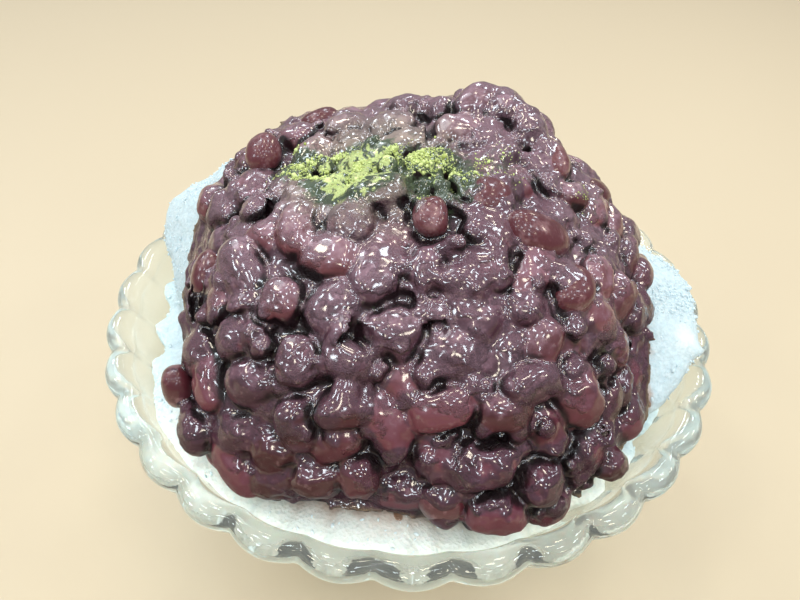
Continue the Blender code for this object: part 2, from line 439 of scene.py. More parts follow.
def make_piece(name, points, faces, material, masks=None):
    """A smooth mesh piece. masks are named numbers, one for each point."""
    mesh = bpy.data.meshes.new(name)
    mesh.vertices.add(len(points))
    mesh.vertices.foreach_set("co", np.asarray(points, np.float32).ravel())
    sizes = np.array([len(face) for face in faces]) if isinstance(faces, list) else None
    if sizes is None:
        sizes = np.full(len(faces), faces.shape[1])
        corners = faces.ravel()
    else:
        corners = np.concatenate([np.asarray(face) for face in faces])
    mesh.loops.add(len(corners))
    mesh.loops.foreach_set("vertex_index", corners.astype(np.int32))
    mesh.polygons.add(len(sizes))
    mesh.polygons.foreach_set("loop_start", (np.cumsum(sizes) - sizes).astype(np.int32))
    mesh.update(calc_edges=True)
    mesh.validate()
    mesh.shade_smooth()
    for mask, values in (masks or {}).items():
        mesh.attributes.new(mask, "FLOAT", "POINT").data.foreach_set(
            "value", np.asarray(values, np.float32)
        )
    mesh.materials.append(material)
    piece = bpy.data.objects.new(name, mesh)
    bpy.context.scene.collection.objects.link(piece)
    return piece


def normals_of(points, quads):
    """Unit normals at the points of a mesh of quads."""
    corners = points[quads]
    across = np.cross(corners[:, 2] - corners[:, 0], corners[:, 3] - corners[:, 1])
    total = np.zeros_like(points)
    for i in range(4):
        np.add.at(total, quads[:, i], across)
    return total / np.maximum(np.linalg.norm(total, axis=1, keepdims=True), 1e-12)


def thinned(piece, mask, most):
    """At most so many triangles: first fewer where the mask is 1, then fewer everywhere."""
    group = piece.vertex_groups.new(name="thinned")
    values = np.empty(len(piece.data.vertices), np.float32)
    piece.data.attributes[mask].data.foreach_get("value", values)
    group.add([int(i) for i in np.flatnonzero(values > 0.5)], 1.0, "REPLACE")
    for only in (group.name, ""):
        piece.data.calc_loop_triangles()
        share = most / len(piece.data.loop_triangles)
        if share >= 1:
            break
        modifier = piece.modifiers.new("thinned", "DECIMATE")
        modifier.vertex_group = only
        modifier.ratio = share
        graph = bpy.context.evaluated_depsgraph_get()
        old = piece.data
        piece.data = bpy.data.meshes.new_from_object(piece.evaluated_get(graph))
        bpy.data.meshes.remove(old)
        piece.modifiers.clear()
    piece.vertex_groups.clear()


def settle(piece, slot, *nodes):
    """The piece rides on the one body, in place of any solids it replaces; slot is not used."""
    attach(piece, "root")
    if nodes:
        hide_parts(*nodes)


def unit_ball(rings):
    """(points, faces) of a round ball, its faces as lists."""
    ball = bmesh.new()
    bmesh.ops.create_icosphere(ball, subdivisions=rings, radius=1)
    ball.verts.ensure_lookup_table()
    points = np.array([vertex.co for vertex in ball.verts])
    faces = np.array([[vertex.index for vertex in face.verts] for face in ball.faces])
    ball.free()
    return points, faces


# ---------------------------------------------------------------- settings

IN_MM = {"subtype": "DISTANCE", "unit": "LENGTH"}
RIM_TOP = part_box("glass_bowl")[1].z


class BowlSettings(bpy.types.PropertyGroup):
    """Sizes and colour of the glass bowl."""

    rim_radius: FloatProperty(
        name="Rim radius", description="To the outside of the bead, between lobe and cusp",
        default=70 * MM, **IN_MM,
    )
    foot_radius: FloatProperty(
        name="Foot radius", description="Outer radius of the flat foot ring", default=32 * MM, **IN_MM
    )
    foot_height: FloatProperty(
        name="Foot height", description="Height of the foot ring", default=4 * MM, **IN_MM
    )
    foot_width: FloatProperty(
        name="Foot width", description="Width of the ring that the bowl stands on",
        default=4 * MM, **IN_MM,
    )
    foot_hollow: FloatProperty(
        name="Foot hollow", description="How far the underside lies above the foot ring",
        default=2.5 * MM, **IN_MM,
    )
    bead_radius: FloatProperty(
        name="Bead radius", description="Radius of the round bead along the rim",
        default=2.75 * MM, **IN_MM,
    )
    wall_at_foot: FloatProperty(
        name="Wall at foot", description="Thickness of the glass at the foot",
        default=4.2 * MM, **IN_MM,
    )
    wall_at_rim: FloatProperty(
        name="Wall at rim", description="Thickness of the glass under the bead",
        default=2.3 * MM, **IN_MM,
    )
    wall_curve: FloatProperty(
        name="Wall curve", description="Height along the wall goes with this power of the way out",
        default=1.6,
    )
    lobes: IntProperty(name="Lobes", description="Number of lobes in the rim", default=32, min=3)
    first_cusp: FloatProperty(
        name="First cusp", description="Azimuth of a cusp between two lobes",
        default=math.radians(8.15), subtype="ANGLE", unit="ROTATION",
    )
    lobe_depth: FloatProperty(
        name="Lobe depth", description="From the tip of a lobe to the cusp beside it",
        default=1.5 * MM, **IN_MM,
    )
    flute_share: FloatProperty(
        name="Flute share", description="Depth of the flutes in the wall, as a share of the lobes",
        default=0.3, min=0, max=1,
    )
    flutes_start: FloatProperty(
        name="Flutes start", description="Height where the lobes begin to show in the wall",
        default=18 * MM, **IN_MM,
    )
    glass_colour: FloatVectorProperty(
        name="Glass", description="Tint of light that passes through the glass",
        subtype="COLOR", size=3, min=0, max=1, default=(0.92, 0.95, 0.9),
    )


class IceSettings(bpy.types.PropertyGroup):
    """Sizes and colours of the shaved ice."""

    cell: FloatProperty(
        name="Cell", description="Size of the smallest relief in the ice's mesh",
        default=0.75 * MM, **IN_MM,
    )
    clump_height: FloatProperty(
        name="Clump height", description="Unevenness of the heaped ice", default=0.9 * MM, **IN_MM
    )
    grain_height: FloatProperty(
        name="Grain height", description="Unevenness of its single grains",
        default=0.35 * MM, **IN_MM,
    )
    into_wall: FloatProperty(
        name="Into wall", description="How far the ice reaches into the glass, so that no gap shows",
        default=0.3 * MM, **IN_MM,
    )
    flakes: IntProperty(name="Flakes", description="Number of loose flakes", default=6500, min=0)
    snow_colour: FloatVectorProperty(
        name="Snow", description="Dry shaved ice",
        subtype="COLOR", size=3, min=0, max=1, default=(0.49, 0.595, 0.635),
    )
    # painted light: this colour is far lighter than the snow, standing in for light on the front ice
    # that the heap shades
    wet_colour: FloatVectorProperty(
        name="Wet ice", description="Ice soaked with melt water, painted lighter",
        subtype="COLOR", size=3, min=0, max=1, default=(0.8, 0.83, 0.78),
    )
    seep_colour: FloatVectorProperty(
        name="Seeping syrup", description="Ice beside the beans, tinted by their syrup",
        subtype="COLOR", size=3, min=0, max=1, default=(0.42, 0.27, 0.2),
    )


class BeanSettings(bpy.types.PropertyGroup):
    """Sizes and colours of the beans and their paste."""

    cell: FloatProperty(
        name="Cell", description="Size of the smallest relief in the paste's mesh",
        default=0.5 * MM, **IN_MM,
    )
    length: FloatProperty(
        name="Bean length", description="Length of a middling bean", default=10.5 * MM, **IN_MM
    )
    width: FloatProperty(
        name="Bean width", description="Width of a middling bean", default=7.6 * MM, **IN_MM
    )
    spacing: FloatProperty(
        name="Spacing", description="Least distance between the middles of two beans",
        default=7.4 * MM, **IN_MM,
    )
    paste_depth: FloatProperty(
        name="Paste depth", description="How far the paste lies below the tops of the beans",
        default=3.0 * MM, **IN_MM,
    )
    paste_uneven: FloatProperty(
        name="Paste uneven", description="How much that depth varies", default=3.2 * MM, **IN_MM
    )
    paste_colour: FloatVectorProperty(
        name="Paste", description="Thick bean paste",
        subtype="COLOR", size=3, min=0, max=1, default=(0.066, 0.024, 0.038),
    )
    coated_colour: FloatVectorProperty(
        name="Coated bean", description="A bean under a thin coat of paste",
        subtype="COLOR", size=3, min=0, max=1, default=(0.2, 0.066, 0.08),
    )
    # painted light: a paler greyish mauve on what faces up, as if lit from above
    painted_top_light_colour: FloatVectorProperty(
        name="Painted top light", description="Painted light on what faces upwards",
        subtype="COLOR", size=3, min=0, max=1, default=(0.29, 0.165, 0.21),
    )
    skin_colour: FloatVectorProperty(
        name="Bean skin", description="A bean with a bare skin",
        subtype="COLOR", size=3, min=0, max=1, default=(0.075, 0.014, 0.02),
    )
    # painted shade: the near-black colour of crevices between the beans and of closed-in hollows
    painted_shade_colour: FloatVectorProperty(
        name="Painted shade", description="Painted shade down between the beans",
        subtype="COLOR", size=3, min=0, max=1, default=(0.012, 0.004, 0.006),
    )
    edge_colour: FloatVectorProperty(
        name="Thin edge", description="Paste where it lies thinly on the ice",
        subtype="COLOR", size=3, min=0, max=1, default=(0.2, 0.13, 0.075),
    )
    # painted shade and a redder tone: multiplies the colour of the low paste and beans, darkening
    # them
    soaked_and_shaded_tint: FloatVectorProperty(
        name="Soaked", description="What the low paste and beans are darkened by",
        subtype="COLOR", size=3, min=0, max=1, default=(0.55, 0.29, 0.41),
    )


class TeaSettings(bpy.types.PropertyGroup):
    """Size, place and colours of the green tea powder."""

    azimuth: FloatProperty(
        name="Azimuth", description="Of the middle of the powder",
        default=math.radians(226), subtype="ANGLE", unit="ROTATION",
    )
    polar: FloatProperty(
        name="Polar angle", description="Of the middle of the powder",
        default=math.radians(14), subtype="ANGLE", unit="ROTATION",
    )
    spread: FloatProperty(
        name="Spread", description="Radius of the powder", default=math.radians(8),
        subtype="ANGLE", unit="ROTATION",
    )
    grains: IntProperty(name="Grains", description="Number of small clumps", default=5000, min=0)
    dry_colour: FloatVectorProperty(
        name="Dry powder", description="Powder on top of a clump",
        subtype="COLOR", size=3, min=0, max=1, default=(0.64, 0.73, 0.31),
    )
    wet_colour: FloatVectorProperty(
        name="Wet powder", description="Powder that has soaked up syrup",
        subtype="COLOR", size=3, min=0, max=1, default=(0.06, 0.085, 0.045),
    )


class SyrupSettings(bpy.types.PropertyGroup):
    """Size and colour of the drops of syrup."""

    drops: IntProperty(name="Drops", description="Number of drops", default=130, min=0)
    drop_width: FloatProperty(
        name="Drop width", description="Width of a middling drop", default=0.9 * MM, **IN_MM
    )
    syrup_colour: FloatVectorProperty(
        name="Syrup", description="Thin red bean syrup",
        subtype="COLOR", size=3, min=0, max=1, default=(0.5, 0.26, 0.17),
    )


class StageSettings(bpy.types.PropertyGroup):
    """The floor, the lamps and the camera."""

    floor_colour: FloatVectorProperty(
        name="Floor", description="Plain pale floor",
        subtype="COLOR", size=3, min=0, max=1, default=(0.58, 0.48, 0.34),
    )
    camera_azimuth: FloatProperty(
        name="Heading", description="Of the camera, from +Y towards +X",
        default=math.radians(-1.2), subtype="ANGLE", unit="ROTATION",
    )
    camera_pitch: FloatProperty(
        name="Pitch", description="How far the camera looks down",
        default=math.radians(43.79), subtype="ANGLE", unit="ROTATION",
    )
    camera_roll: FloatProperty(
        name="Roll", description="Of the camera, clockwise", default=math.radians(2.37),
        subtype="ANGLE", unit="ROTATION",
    )
    camera_back: FloatProperty(
        name="Camera back", description="Distance in front of the bowl's middle",
        default=115.3 * MM, **IN_MM,
    )
    camera_up: FloatProperty(
        name="Camera height", description="Above the floor", default=169.2 * MM, **IN_MM
    )
    lens: FloatProperty(name="Lens", description="Focal length in millimetres", default=29.25)


# ---------------------------------------------------------------- glass bowl


class BowlShape:
    """The bowl's section, worked out from its settings."""

    def __init__(self, bowl):
        self.bowl = bowl
        self.height = RIM_TOP
        self.bead = bowl.bead_radius
        self.neck = bowl.rim_radius - 1.15 * self.bead
        self.top = self.height - 1.6 * self.bead

    def outside(self, share):
        """(radius, height) on the wall's outside. share is 0 at the foot and 1 at the bead."""
        foot = self.bowl.foot_radius - 2 * MM
        low = self.bowl.foot_height
        radius = foot + (self.neck - foot) * share
        return np.stack((radius, low + (self.top - low) * share**self.bowl.wall_curve), axis=-1)

    def inside(self, share):
        """The same point on the wall's inside, straight through the glass."""
        step = 1e-4
        here, ahead = self.outside(share), self.outside(share + step)
        along = (ahead - here) / np.linalg.norm(ahead - here, axis=-1, keepdims=True)
        thickness = self.bowl.wall_at_foot + (
            self.bowl.wall_at_rim - self.bowl.wall_at_foot
        ) * np.asarray(share)
        return here + np.stack((-along[..., 1], along[..., 0]), axis=-1) * thickness[..., None]

    def lobe(self, azimuth):
        """1 at the tip of a lobe and 0 in the cusp between two."""
        wave = np.abs(np.sin((azimuth - self.bowl.first_cusp) * self.bowl.lobes / 2))
        return wave**0.9

    def lobe_offset(self, azimuth, radius, height):
        """How far the lobes move the glass outwards: hardly in the wall, most at the bead."""
        bead = self.height - self.bead
        flutes = smooth(self.bowl.flutes_start, bead, height)
        outer = smooth(-1, 0.8, (radius - self.bowl.rim_radius + self.bead) / self.bead)
        rim = smooth(bead - 1.5 * self.bead, bead - 0.3 * self.bead, height) * outer
        showing = self.bowl.flute_share * flutes + (1 - self.bowl.flute_share) * rim
        return self.bowl.lobe_depth * showing * (self.lobe(azimuth) - 0.65)

    def inner_radius(self, azimuth, height):
        """Radius of the wall's inside at a height, flutes and all."""
        line = self.inside(np.linspace(0, 1.05, 60))
        radius = np.interp(height, line[:, 1], line[:, 0], left=0)
        low = height < line[0, 1]
        return np.where(low, 0, radius + self.lobe_offset(azimuth, 0 * radius, height))

    def profile(self):
        """Half of the section, from the middle of the floor over the rim to the underside."""
        bowl = self.bowl
        ring = bowl.foot_radius - bowl.foot_width
        around_bead = np.radians(np.linspace(188, -48, 26))
        middle = np.array((bowl.rim_radius - self.bead, self.height - self.bead))
        bead = middle + self.bead * np.stack((np.cos(around_bead), np.sin(around_bead)), axis=-1)
        parts = [
            np.stack((np.linspace(3 * MM, 26 * MM, 6), np.full(6, self.inside(0.0)[1])), axis=-1),
            self.inside(np.linspace(0.02, 0.985, 34)),
            bead,
            self.outside(np.linspace(0.95, 0.02, 32)),
            [(bowl.foot_radius - 0.4 * MM, 3.2 * MM), (bowl.foot_radius, 2.2 * MM)],
            [(bowl.foot_radius, 0.5 * MM), (bowl.foot_radius - 0.5 * MM, 0)],
            [(ring + 0.5 * MM, 0), (ring, 0.4 * MM), (ring - 0.8 * MM, bowl.foot_hollow)],
            np.stack((np.linspace(24 * MM, 3 * MM, 5), np.full(5, bowl.foot_hollow)), axis=-1),
        ]
        return np.concatenate([np.asarray(part, float) for part in parts])


def glass_finish(bowl):
    finish = Finish("pressed_glass")
    ripple = finish.noise(6 * MM, 1.0)
    pits = finish.noise(0.9 * MM, 2.0)
    normal = finish.bump(ripple * 0.8 + pits * 0.2, 0.12 * MM)
    stain = finish.attribute("stain")
    tint = finish.mix(stain, colour(bowl.glass_colour), (0.32, 0.18, 0.07))
    return finish.principled(
        {
            "Base Color": tint, "Roughness": 0.015, "IOR": 1.42, "Transmission Weight": 0.9,
            "Normal": normal,
        },
        passes=(0.9, 0.93, 0.9),
    )


class BINGSU_OT_glass_bowl(bpy.types.Operator):
    """Turn the bowl, press its lobes and flutes, and round its bead"""

    bl_idname = "bingsu.glass_bowl"
    bl_label = "Glass Bowl"

    STEPS_PER_LOBE = 16

    def execute(self, context):
        bowl = context.scene.bingsu_bowl
        shape = BowlShape(bowl)
        profile = shape.profile()
        count = bowl.lobes * self.STEPS_PER_LOBE
        azimuth = np.arange(count) * math.tau / count
        radius, height = profile[:, :1], profile[:, 1:]
        moved = np.where(
            radius > bowl.foot_radius, shape.lobe_offset(azimuth, radius, height), 0
        )
        pinch = 1 - shape.lobe(azimuth)
        beside = smooth(2.6, 0, np.abs(height - (shape.height - shape.bead)) / shape.bead)
        drop = 0.5 * MM * pinch * smooth(-0.2, 1, (height - shape.height + shape.bead) / shape.bead)
        out = radius + moved - 0.25 * MM * pinch * beside
        points = np.stack(
            (out * np.cos(azimuth), out * np.sin(azimuth), height - drop + 0 * azimuth), axis=-1
        )
        rows = len(profile)
        index = np.arange(rows * count).reshape(rows, count)
        ahead = np.roll(index, -1, axis=1)
        walls = np.stack((index[:-1], ahead[:-1], ahead[1:], index[1:]), axis=-1).reshape(-1, 4)
        inner, outer = rows * count, rows * count + 1
        caps = [(inner, int(a), int(b)) for a, b in zip(ahead[0], index[0])]
        caps += [(outer, int(a), int(b)) for a, b in zip(index[-1], ahead[-1])]
        middles = [(0, 0, profile[0, 1]), (0, 0, profile[-1, 1])]
        points = np.concatenate((points.reshape(-1, 3), middles))
        faces = [tuple(int(i) for i in face[::-1]) for face in walls]
        faces += [face[::-1] for face in caps]
        stain = self.stains(points)
        piece = make_piece(
            "pressed_glass_bowl", points, faces, glass_finish(bowl), {"stain": stain}
        )
        settle(piece, "clear_glass", "glass_bowl")
        return {"FINISHED"}

    def stains(self, points):
        """Two small syrup stains on the rim."""
        azimuth = np.degrees(np.arctan2(points[:, 1], points[:, 0])) % 360
        total = np.zeros(len(points))
        for at, height, wide, tall in ((294.5, 58.5, 0.9, 1.6), (226.5, 59.5, 0.7, 0.9)):
            across = (azimuth - at) / wide
            up = (points[:, 2] / MM - height) / tall
            total += np.exp(-across * across - up * up)
        outer = np.hypot(points[:, 0], points[:, 1]) > 64 * MM
        return np.clip(total, 0, 1) * outer


# ---------------------------------------------------------------- shaved ice


def wetness_and_painted_light(points):
    """1 where melt water has soaked the ice: low in front, and in a patch on the right. There the ice
    is smoother, and its colour is painted lighter than the snow: painted light for the front that the
    heap shades.
    """
    azimuth, polar, _ = angles(points)
    degrees = np.degrees(azimuth) % 360
    front = smooth(192, 235, degrees) * smooth(332, 312, degrees)
    low = smooth(math.radians(58), math.radians(72), polar)
    right = np.exp(-(((degrees - 344) / 5) ** 2) - ((np.degrees(polar) - 62) / 3) ** 2)
    return np.clip(front * (0.35 + 0.65 * low) + 0.55 * right, 0, 1)


def ice_finish(ice, name, depth, painted_glow=0.0):
    """Ice grains. depth is how much of the light goes through them; glow is painted light, an
    emission that lightens their shaded sides.
    """
    finish = Finish(name)
    wet, seep = finish.attribute("wet"), finish.attribute("seep")
    clumps = finish.noise(5 * MM, 3.0, 0.6)
    grains = finish.noise(1.1 * MM, 4.0, 0.65)
    crystals = finish.cells(0.8 * MM)
    wet_and_painted_light_here = finish.between(wet + (clumps - 0.5) * 0.5, 0.2, 0.9)
    snow = finish.mix(
        finish.between(grains, 0.3, 0.7), colour(ice.snow_colour), (0.6, 0.71, 0.75)
    )
    # painted light: the soaked ice takes a far lighter colour than the dry snow, standing in for
    # light on the front that the heap shades
    base = finish.mix(wet_and_painted_light_here, snow, colour(ice.wet_colour))
    seeping = finish.between(seep + (clumps - 0.5) * 0.9, 0.35, 1.1)
    base = finish.mix(seeping * 0.8, base, colour(ice.seep_colour))
    height = grains * 0.6 + crystals * 0.4
    normal = finish.bump(height, 0.55 * MM, 0.8)
    roughness = 0.62 - wet_and_painted_light_here * 0.34
    return finish.principled(
        {
            "Base Color": base, "Roughness": roughness, "Normal": normal,
            "Subsurface Weight": depth, "Subsurface Scale": 3 * MM,
            "Subsurface Radius": (0.7, 0.9, 1.0), "IOR": 1.31,
            # painted light: the emission lightens the shaded sides of the grains
            "Emission Color": (0.8, 0.94, 1), "Emission Strength": painted_glow,
        }
    )


class BINGSU_OT_shaved_ice(bpy.types.Operator):
    """Fill the bowl with grainy ice up to the mound's own outline"""

    bl_idname = "bingsu.shaved_ice"
    bl_label = "Shaved Ice"

    MOST_TRIANGLES = 180_000

    def execute(self, context):
        ice = context.scene.bingsu_ice
        shape = BowlShape(context.scene.bingsu_bowl)
        mound, glass = Shell("shaved_ice", 6), Shell("glass_bowl", 2)
        low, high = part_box("shaved_ice")
        spare = 4 * MM
        field = Field(np.array(low) - spare, np.array(high) + spare, ice.cell)
        points = field.points().reshape(-1, 3)
        azimuth, polar, distance = angles(points)
        top = mound.outside(azimuth, polar)
        wall = glass.underside(azimuth, polar)
        meets = smooth(2.6 * MM, 1.1 * MM, wall - top) * glass.covers(azimuth, polar)
        top = top + 4 * MM * meets
        top = np.where(polar > math.radians(100), FAR, top)
        beans = Shell("red_beans", 0)
        past = np.degrees(polar - beans.edge(azimuth))
        degrees = np.degrees(azimuth) % 360
        climbs = smooth(192, 222, degrees) * smooth(300, 280, degrees) * smooth(0.5, 4, past)
        top = top + 2.2 * MM * climbs / np.cos(np.minimum(polar, math.radians(78)))
        slumps = smooth(318, 332, degrees) * smooth(352, 336, degrees)
        down = np.degrees(polar)
        top = top + 2.2 * MM * slumps * smooth(59, 68, down) * smooth(82, 72, down)
        above = distance - top
        near = np.abs(above) < 4 * MM
        clumps, grains = Uneven(11), Uneven(12)
        uneven = np.zeros(len(points))
        close = points[near]
        fluffy = 1 - 0.6 * wetness_and_painted_light(close)
        uneven[near] = fluffy * (
            ice.clump_height * clumps.layers(close, 7 * MM, 2)
            + ice.grain_height * grains.layers(close, 2.2 * MM, 2)
        )
        beside = np.hypot(points[:, 0], points[:, 1]) - (
            shape.inner_radius(azimuth, points[:, 2]) + ice.into_wall
        )
        over_rim = points[:, 2] > RIM_TOP - 4 * MM
        beside = np.where(over_rim, -FAR, beside)
        floor = shape.inside(0.0)[1] - ice.into_wall - points[:, 2]
        values = np.maximum(np.maximum(above - uneven, beside * 0.8), floor)
        field.values = values.reshape(field.values.shape).astype(np.float32)
        points, quads = field.surface()
        azimuth, polar, distance = angles(points)
        past = np.degrees(polar - beans.edge(azimuth))
        masks = {
            "wet": wetness_and_painted_light(points), "seep": smooth(3.5, 0, past) * (points[:, 2] > 46 * MM),
            "hidden": (past < -7) & (points[:, 2] > 50 * MM),
        }
        material = ice_finish(ice, "shaved_ice", 0.6)
        piece = make_piece("shaved_ice_mound", points, quads, material, masks)
        thinned(piece, "hidden", self.MOST_TRIANGLES)
        settle(piece, "shaved_ice", "shaved_ice")
        return {"FINISHED"}


def scattered(piece, count, random, weight):
    """(points, normals) of random places on a mesh. weight says how likely each face is."""
    mesh = piece.data
    mesh.calc_loop_triangles()
    corners = np.empty(len(mesh.loop_triangles) * 3, np.int32)
    mesh.loop_triangles.foreach_get("vertices", corners)
    places = np.empty(len(mesh.vertices) * 3, np.float32)
    mesh.vertices.foreach_get("co", places)
    triangles = places.reshape(-1, 3).astype(float)[corners.reshape(-1, 3)]
    across = np.cross(triangles[:, 1] - triangles[:, 0], triangles[:, 2] - triangles[:, 0])
    area = np.linalg.norm(across, axis=1)
    normals = across / np.maximum(area[:, None], 1e-12)
    chance = area * weight(triangles.mean(1), normals)
    chosen = random.choice(len(chance), count, p=chance / chance.sum())
    share = random.random((count, 2))
    share = np.where(share.sum(1, keepdims=True) > 1, 1 - share, share)
    start = triangles[chosen]
    points = start[:, 0] + share[:, :1] * (start[:, 1] - start[:, 0])
    points += share[:, 1:] * (start[:, 2] - start[:, 0])
    return points, normals[chosen]


def turned(random, count):
    """Random turns as an array of 3 x 3 matrices."""
    first = unit(random.normal(size=(count, 3)))
    second = unit(np.cross(first, random.normal(size=(count, 3))))
    return np.stack((first, second, np.cross(first, second)), axis=1)


def joined(name, middles, turns, sizes, shapes, random, material, masks=None):
    """One mesh of many small bodies. shapes are the (points, faces) that they are made from."""
    points, faces, start = [], [], 0
    picks = random.integers(len(shapes), size=len(middles))
    counts = []
    for middle, turn, size, pick in zip(middles, turns, sizes, picks):
        body, sides = shapes[pick]
        points.append((body * size) @ turn + middle)
        faces.append(sides + start)
        counts.append(len(body))
        start += len(body)
    masks = {key: np.repeat(values, counts) for key, values in (masks or {}).items()}
    return make_piece(name, np.concatenate(points), np.concatenate(faces), material, masks)


def lumps(random, count, rings, jitter):
    """Uneven little bodies, each about one unit in radius."""
    points, faces = unit_ball(rings)
    made = []
    for _ in range(count):
        pulls = unit(random.normal(size=(6, 3)))
        heights = random.uniform(-jitter, jitter, 6)
        made.append((points * (1 + (np.abs(points @ pulls.T) ** 3) @ heights)[:, None], faces))
    return made


class BINGSU_OT_ice_flakes(bpy.types.Operator):
    """Scatter loose flakes over the ice that shows"""

    bl_idname = "bingsu.ice_flakes"
    bl_label = "Ice Flakes"

    def execute(self, context):
        mound = bpy.data.objects.get("shaved_ice_mound")
        if mound is None:
            raise RuntimeError("the flakes lie on the shaved ice, which isn't there yet")
        ice = context.scene.bingsu_ice
        random = np.random.default_rng(31)
        beans = Shell("red_beans", 0)
        patches = Uneven(32)

        def weight(points, normals):
            azimuth, polar, _ = angles(points)
            past = polar - beans.edge(azimuth)
            shows = (points[:, 2] > 44 * MM) & (past > math.radians(-4))
            crowd = np.clip(patches(points, 9 * MM) + 0.35, 0.05, 1)
            right = 1 + 1.5 * smooth(35, 15, np.abs(np.degrees(azimuth) + 5))
            return shows * crowd * right * (1 - 0.8 * wetness_and_painted_light(points))

        points, normals = scattered(mound, ice.flakes, random, weight)
        shapes = lumps(random, 12, 1, 0.55)
        length = random.lognormal(math.log(0.3), 0.4, ice.flakes) * MM
        flat = random.uniform(0.25, 0.8, (ice.flakes, 3))
        flat[:, 0] = 1
        sizes = length[:, None] * flat
        points = points + normals * random.uniform(-0.1, 0.45, (ice.flakes, 1)) * length[:, None]
        # the loose flakes get a faint emission: painted light that lightens their shaded sides
        material = ice_finish(ice, "loose_ice", 0, 0.15)
        piece = joined(
            "shaved_ice_flakes", points, turned(random, ice.flakes), sizes, shapes, random, material,
            {"wet": wetness_and_painted_light(points) * 0.5},
        )
        settle(piece, "shaved_ice")
        return {"FINISHED"}


# ---------------------------------------------------------------- red beans

# azimuth, polar and turn in degrees: at turn 0 the bean points down the slope, and at 90 round
# it. length, width and rise in millimetres: rise is how far it stands out of the mound.
Bean = collections.namedtuple("Bean", "azimuth polar length width turn rise bare")

CHOSEN_BEANS = [
    Bean(*row)
    for row in (
        (224, 37, 14.9, 9.1, 60, 1.2, 0), (205, 45, 11.5, 8.8, 60, 0.5, 1),
        (245, 29, 11.2, 8.2, 100, 0.8, 0), (239, 37, 8.2, 7.5, 30, 0.8, 0),
        (267, 37, 8.6, 7.6, 100, 1.2, 0), (258, 42, 9.2, 7.5, 70, 1.0, 0),
        (248, 44, 9.4, 7.7, 10, 1.2, 0), (233, 45, 10.0, 8.2, 150, 0.6, 0),
        (223, 53, 8.6, 6.6, 40, 1.0, 0), (223, 43, 8.2, 6.7, 40, 0.3, 0),
        (191, 36, 13.3, 8.1, 10, 0.8, 0), (180, 27, 9.0, 7.3, 90, 3.0, 1),
        (139, 27, 10.5, 8.6, 90, 2.0, 1), (155, 14, 10.8, 7.3, 50, 1.0, 0),
        (277, 20, 7.6, 6.2, 0, 1.5, 1), (310, 18, 9.2, 8.5, 140, 1.2, 1),
        (317, 27, 14.3, 8.4, 50, 1.8, 1), (314, 36, 10.1, 8.0, 140, 1.6, 1),
        (333, 45, 11.1, 9.5, 110, 1.0, 0), (350, 33, 9.7, 7.2, 60, 0.5, 0),
        (353, 38, 9.7, 6.6, 90, 0.8, 0), (350, 44, 10.6, 6.6, 100, 1.0, 0),
        (345, 27, 9.0, 5.7, 40, 1.2, 0), (273, 28, 8.3, 6.0, 150, 0.5, 0),
        (284, 31, 9.3, 6.9, 50, 0.2, 0), (293, 29, 7.8, 6.1, 70, 0, 0),
        (285, 36, 8.3, 7.0, 70, 0.5, 0), (301, 36, 8.6, 6.6, 50, 0, 0),
        (279, 40, 9.9, 7.6, 100, 0.8, 0), (301, 41, 9.3, 7.3, 140, 0.4, 0),
        (334, 55, 10.9, 7.9, 130, 0.4, 0), (239, 50, 9.2, 8.1, 140, 1.4, 0),
        (230, 54, 10.5, 7.5, 30, 0.6, 0), (251, 53, 10.6, 6.9, 30, 0.8, 0),
        (259, 49, 7.3, 6.0, 100, 0.6, 0), (263, 60, 8.2, 7.5, 10, 1.2, 0),
        (240, 66, 13.6, 8.5, 40, 0.8, 0), (247, 59, 8.7, 7.2, 140, 0.5, 0),
        (256, 62, 10.8, 7.6, 100, 0.2, 0), (277, 48, 12.1, 7.8, 110, 2.0, 0),
        (289, 49, 9.5, 6.8, 80, 1.6, 0), (295, 46, 11.3, 6.5, 90, 1.4, 0),
        (306, 51, 12.1, 9.9, 0, 2.2, 0), (284, 57, 12.6, 7.0, 100, 1.4, 0),
        (295, 62, 9.2, 8.5, 160, 1.8, 0), (298, 70, 8.3, 7.9, 170, 1.4, 0),
        (286, 66, 11.1, 7.8, 90, 2.0, 0), (307, 62, 10.2, 7.9, 30, 0.8, 0),
        (312, 68, 8.8, 6.3, 50, 1.8, 0), (314, 57, 11.4, 6.7, 140, 0.2, 0),
        (330, 58, 10.9, 7.8, 140, 0.8, 0), (223, 59, 8.4, 6.8, 0, 4.0, 1),
        (138, 7, 9.7, 7.2, 40, 0.5, 0), (100, 11, 10.2, 8.0, 120, 1.8, 0),
        (79, 10, 9.2, 7.4, 90, 1.0, 0), (11, 6, 10.2, 8.2, 10, 0.8, 0),
        (41, 12, 10.4, 8.2, 10, 1.6, 0), (24, 15, 9.4, 8.5, 70, 1.6, 0),
        (8, 18, 8.8, 7.9, 80, 1.2, 0), (356, 22, 10.8, 8.3, 110, 1.6, 1),
        (342, 52, 10.4, 8.2, 20, 2.4, 0), (350, 49, 10.8, 8.0, 70, 2.6, 0),
        (337, 50, 9.6, 7.8, 120, 2.0, 0), (1, 46, 10.2, 7.9, 40, 2.0, 0),
    )
]


